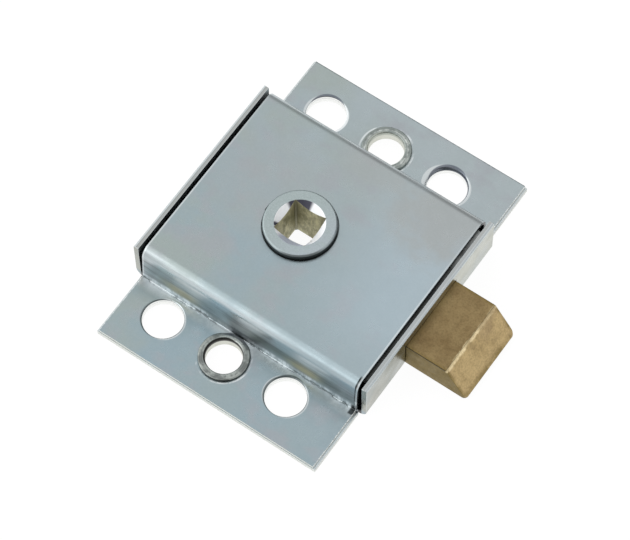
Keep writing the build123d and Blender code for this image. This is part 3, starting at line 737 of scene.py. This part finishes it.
# grids
def gridMesh(name, points, closeU, material):
    # points is (u, v, 3); faces join each point to the next along u and v, and v always closes
    rows, columns = points.shape[:2]
    i = np.arange(rows if closeU else rows - 1)[:, None]
    j = np.arange(columns)[None, :]
    i2, j2 = (i + 1) % rows, (j + 1) % columns
    quads = np.stack([i * columns + j, i2 * columns + j, i2 * columns + j2, i * columns + j2], axis=-1)
    mesh = bpy.data.meshes.new(name)
    mesh.from_pydata(points.reshape(-1, 3).tolist(), [], quads.reshape(-1, 4).tolist())
    mesh.materials.append(material)
    mesh.shade_smooth()
    piece = bpy.data.objects.new(name, mesh)
    bpy.context.scene.collection.objects.link(piece)
    return piece


# eyelets; the cuts are how much of each corner is rounded off
eyeletSizes = {"bore": 4.0 * mm, "barrel": 4.55 * mm, "height": 0.75 * mm, "flare": 0.7 * mm, "around": 128,
               "ripple": 0.05 * mm, "rippleUp": 0.03 * mm, "footCut": 0.15 * mm, "mouthCut": 0.42 * mm,
               "rimCut": 0.34 * mm, "underCut": 0.12 * mm, "flareCut": 0.1 * mm, "flareRimCut": 0.08 * mm,
               "arcSteps": 7}
# each wave of the head's rim is (how many go round, share, phase that changes with the eyelet's side, phase)
rimWaves = [(3, 0.5, 1, 0.0), (7, 0.3, -2, 0.0), (13, 0.2, 0, 1.3)]


def roundedProfile(corners, steps):
    # each corner is (radius, height, cut); the cut is bridged by a quadratic arc between its two sides
    points = []
    for k, (r, z, cut) in enumerate(corners):
        here = np.array([r, z])
        before, after = (np.array(corners[(k + d) % len(corners)][:2]) - here for d in (-1, 1))
        start = here + before / np.linalg.norm(before) * cut
        end = here + after / np.linalg.norm(after) * cut
        t = np.linspace(0, 1, steps)[:, None] if cut else np.zeros((1, 1))
        points.append((1 - t) ** 2 * start + 2 * t * (1 - t) * here + t ** 2 * end)
    return np.concatenate(points)


def eyelet(name, nodeName, s):
    # revolve: x = r cos u, y = r sin u, the head's rim drawn in and down by ripple times (1 - waves of u)
    low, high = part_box(nodeName)
    head, top, middle = (high.x - low.x) / 2, high.z, (low.y + high.y) / 2
    foot, side = top - s["height"], math.copysign(1, middle)
    barrel = s["barrel"]
    corners = [(s["bore"], 0, s["footCut"]), (s["bore"], top, s["mouthCut"]), (head, top, s["rimCut"]),
               (head, foot, s["underCut"]), (barrel, foot, 0), (barrel, s["flare"], s["flareCut"]),
               (barrel + s["flare"], 0, s["flareRimCut"])]
    profile = roundedProfile(corners, s["arcSteps"])
    u = np.linspace(0, 2 * np.pi, s["around"], endpoint=False)[:, None]
    r, z = profile[:, 0][None, :], profile[:, 1][None, :]
    wave = sum(share * np.sin(n * u + lean * side + phase) for n, share, lean, phase in rimWaves) - 1
    rim = np.clip((r - barrel) / (head - barrel), 0, 1) * (z > foot - 0.01 * mm)
    radius = r + s["ripple"] * wave * rim
    height = z + s["rippleUp"] * wave * rim * (z > foot + 0.2 * mm)
    points = np.stack([radius * np.cos(u), radius * np.sin(u) + middle, height + 0 * u], axis=-1)
    piece = gridMesh(name, points[:, ::-1], True, rolled)
    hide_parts(nodeName)
    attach(piece, "case")


eyelet("frontEyeletDressed", "front_eyelet", eyeletSizes)
eyelet("rearEyeletDressed", "rear_eyelet", eyeletSizes)
print("eyelets spun")

# springs; coil is the helix's radius and wire the wire's
springSizes = {"coil": 2.9 * mm, "wire": 0.3 * mm, "turns": 8.5, "closed": 1.0, "easing": 0.5,
               "stepsPerTurn": 28, "sides": 12}


def spring(name, nodeName, s):
    # tube round a helix whose pitch eases from one wire at the closed ends to its full value between them
    low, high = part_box(nodeName)
    length = high.x - low.x
    middle = np.array([0, (low.y + high.y) / 2, (low.z + high.z) / 2])
    turn = np.linspace(0, s["turns"], int(s["turns"] * s["stepsPerTurn"]) + 1)
    opening = np.clip((turn - s["closed"]) / s["easing"], 0, 1)
    closing = np.clip((s["turns"] - s["closed"] - turn) / s["easing"], 0, 1)
    rate = opening * closing
    spread = np.concatenate([[0], np.cumsum((rate[1:] + rate[:-1]) / 2 * np.diff(turn))])
    tight = 2 * s["wire"]
    along = tight * turn + (length - tight - tight * s["turns"]) * spread / spread[-1]
    angle = 2 * np.pi * turn
    outward = np.stack([0 * angle, np.cos(angle), np.sin(angle)], axis=-1)
    line = s["coil"] * outward
    line[:, 0] = low.x + s["wire"] + along
    tangent = np.gradient(line, axis=0)
    tangent /= np.linalg.norm(tangent, axis=1, keepdims=True)
    binormal = np.cross(tangent, outward)
    v = np.linspace(0, 2 * np.pi, s["sides"], endpoint=False)[None, :, None]
    tube = line[:, None] + s["wire"] * (np.cos(v) * outward[:, None] + np.sin(v) * binormal[:, None])
    ends = [np.repeat(line[k][None, None], s["sides"], axis=1) for k in (0, -1)]
    tube = np.concatenate([ends[0], tube, ends[1]]) + middle
    piece = gridMesh(name, tube, False, wire)
    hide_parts(nodeName)
    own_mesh(piece)
    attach(piece, "case")


spring("frontSpringCoil", "front_spring", springSizes)
spring("rearSpringCoil", "rear_spring", springSizes)
print("springs wound")

# finishes of the nodes that stay as they are
plainFinishes = {"bolt_slide": slideShade, "follower_cam": turned, "front_rivet": turned, "rear_rivet": turned,
                 "front_spring_guide": turned, "rear_spring_guide": turned}
for nodeName, finish in plainFinishes.items():
    for materialSlot in nodes[nodeName].material_slots:
        materialSlot.material = finish

# floor, background and light
studio = {"floorSize": 3.0, "floorHeight": -0.05 * mm, "seen": 0.95, "shade": 0.09, "plain": 0.8}


def addFloor(s):
    # seen by camera and metal as near white plus a little diffuse, so the shadow stays faint
    half = s["floorSize"] / 2
    mesh = bpy.data.meshes.new("floor")
    corners = [(-half, -half), (half, -half), (half, half), (-half, half)]
    mesh.from_pydata([(x, y, s["floorHeight"]) for x, y in corners], [], [(0, 1, 2, 3)])
    floor = bpy.data.objects.new("floor", mesh)
    bpy.context.scene.collection.objects.link(floor)
    material = bpy.data.materials.new("paleFloor")
    material.use_nodes = True
    tree = material.node_tree
    tree.nodes.remove(tree.nodes["Principled BSDF"])
    path = tree.nodes.new("ShaderNodeLightPath").outputs
    seen = calc(tree, "MAXIMUM", calc(tree, "MAXIMUM", path["Is Camera Ray"], path["Is Glossy Ray"]),
                path["Is Transmission Ray"])
    glow = addNode(tree, "Emission", {"Color": (1, 1, 1, 1), "Strength": s["seen"]})
    faint = addNode(tree, "BsdfDiffuse", {"Color": (s["shade"],) * 3 + (1,)})
    pale = addNode(tree, "AddShader", {0: glow, 1: faint})
    plain = addNode(tree, "BsdfDiffuse", {"Color": (s["plain"],) * 3 + (1,)})
    mixed = addNode(tree, "MixShader", {0: seen, 1: plain, 2: pale})
    tree.links.new(mixed, tree.nodes["Material Output"].inputs["Surface"])
    mesh.materials.append(material)


# each lobe is (direction, cosine where it starts, cosine where it is full, how much it adds)
skyGlows = {"base": 0.96, "least": 0.03,
            "lobes": [((-0.27, -0.55, 0.79), 0.74, 0.95, 0.84),
                      ((0.90, 0.37, 0.30), 0.80, 0.98, -0.20),
                      ((-0.20, 0.95, 0.22), 0.80, 0.97, -0.45),
                      ((-0.98, -0.10, 0.12), 0.80, 0.97, 0.60),
                      ((0.26, -0.42, 0.87), 0.80, 0.95, -1.10),
                      ((0.40, 0.91, 0.05), 0.80, 0.96, -0.80)]}


def addSky(sky):
    # plain white where the camera sees it; for the light, base plus each lobe's share by angle
    world = bpy.data.worlds.new("softStudio")
    bpy.context.scene.world = world
    world.use_nodes = True
    tree = world.node_tree
    tree.nodes.clear()
    direction = addNode(tree, "TexCoord")
    level = sky["base"]
    for way, start, end, amount in sky["lobes"]:
        unit = Vector(way).normalized()
        cosine = addNode(tree, "VectorMath", {0: direction, 1: unit}, "Value", operation="DOT_PRODUCT")
        level = calc(tree, "ADD", level, ease(tree, cosine, start, end, 0.0, amount))
    level = calc(tree, "MAXIMUM", level, sky["least"])
    path = tree.nodes.new("ShaderNodeLightPath").outputs
    seen = calc(tree, "MAXIMUM", path["Is Camera Ray"], path["Is Transmission Ray"])
    strength = calc(tree, "ADD", seen, calc(tree, "MULTIPLY", calc(tree, "SUBTRACT", 1.0, seen), level))
    shine = addNode(tree, "Background", {"Color": (1, 1, 1, 1), "Strength": strength})
    output = tree.nodes.new("ShaderNodeOutputWorld")
    tree.links.new(shine, output.inputs["Surface"])


addFloor(studio)
addSky(skyGlows)
bpy.context.scene.view_settings.view_transform = "Standard"
print("floor and light set")
